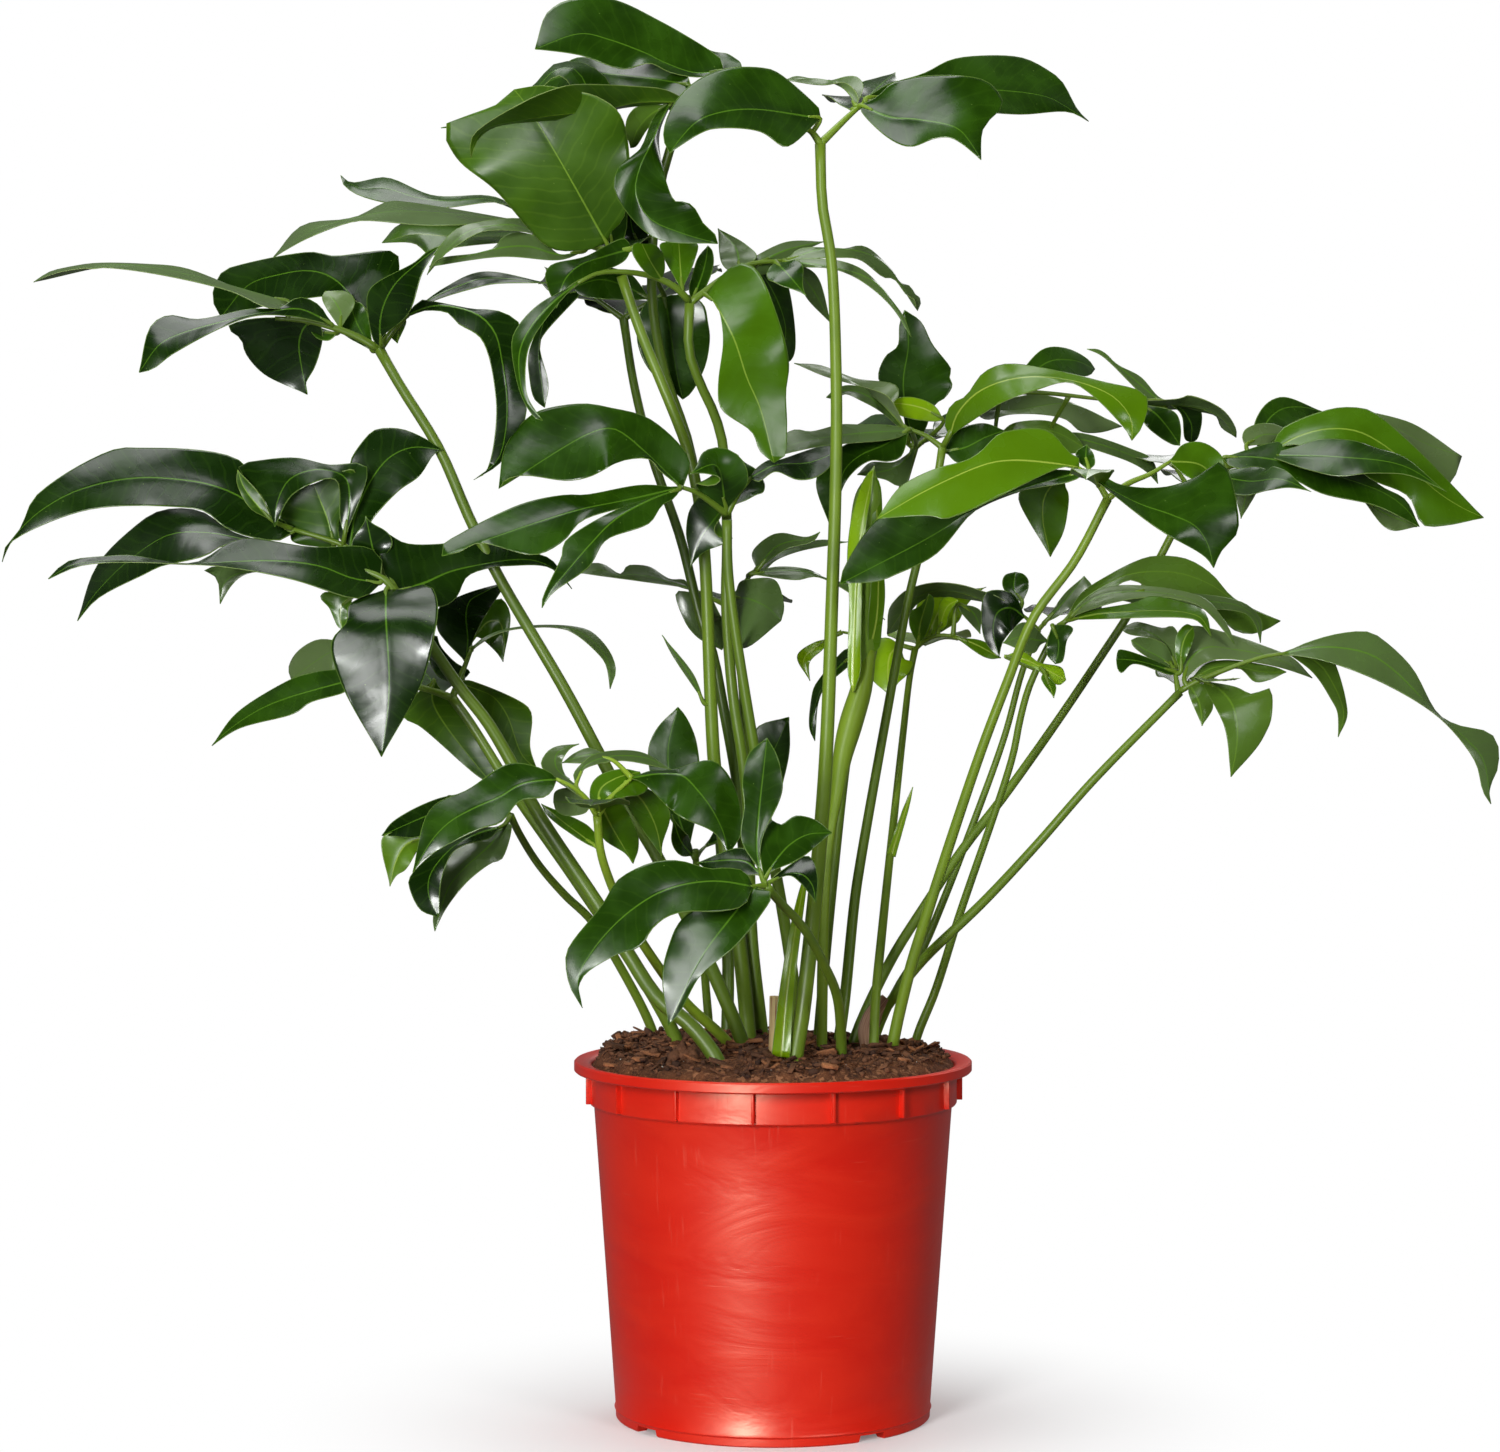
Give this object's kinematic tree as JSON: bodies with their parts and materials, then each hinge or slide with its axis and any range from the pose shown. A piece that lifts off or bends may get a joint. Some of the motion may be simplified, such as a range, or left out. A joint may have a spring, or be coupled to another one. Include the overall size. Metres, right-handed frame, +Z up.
{
  "type": "potted fun bun philodendron",
  "caption": "Bushy house plant with long-stalked, deeply divided glossy leaves, standing in the soil of a round tapered plastic grower's pot.",
  "frame": {"origin": "middle of the pot's flat underside, on the surface that it stands on", "axes": "+Z up along the pot's axis, +X to the viewer's right, -Y towards the viewer"},
  "size_m": [0.8918, 0.4451, 0.8592],
  "materials": {
    "leaf": "glossy",
    "young_leaf": "satin",
    "stub": "dry",
    "dry_sheath": "dry",
    "pot": "satin",
    "soil": "rough"
  },
  "bodies": {
    "root": {"frond_tall_front": "leaf", "frond_tall_back": "leaf", "frond_high_left": "leaf", "frond_high_middle": "leaf", "frond_high_behind": "leaf", "frond_left_high": "leaf", "frond_left_middle": "leaf", "frond_left_low": "leaf", "frond_middle_front": "leaf", "frond_middle_back": "leaf", "frond_right_inner": "leaf", "frond_right_behind": "leaf", "frond_right_bright": "leaf", "frond_right_far": "leaf", "frond_right_small": "leaf", "frond_right_arching": "leaf", "frond_right_low": "leaf", "frond_right_young": "leaf", "frond_low_bright": "leaf", "frond_low_left": "leaf", "frond_low_front": "leaf", "frond_low_back": "leaf", "new_leaf": "young_leaf", "cut_stub": "stub", "dry_sheath": "dry_sheath", "pot": "pot", "soil": "soil"}
  },
  "joints": []
}
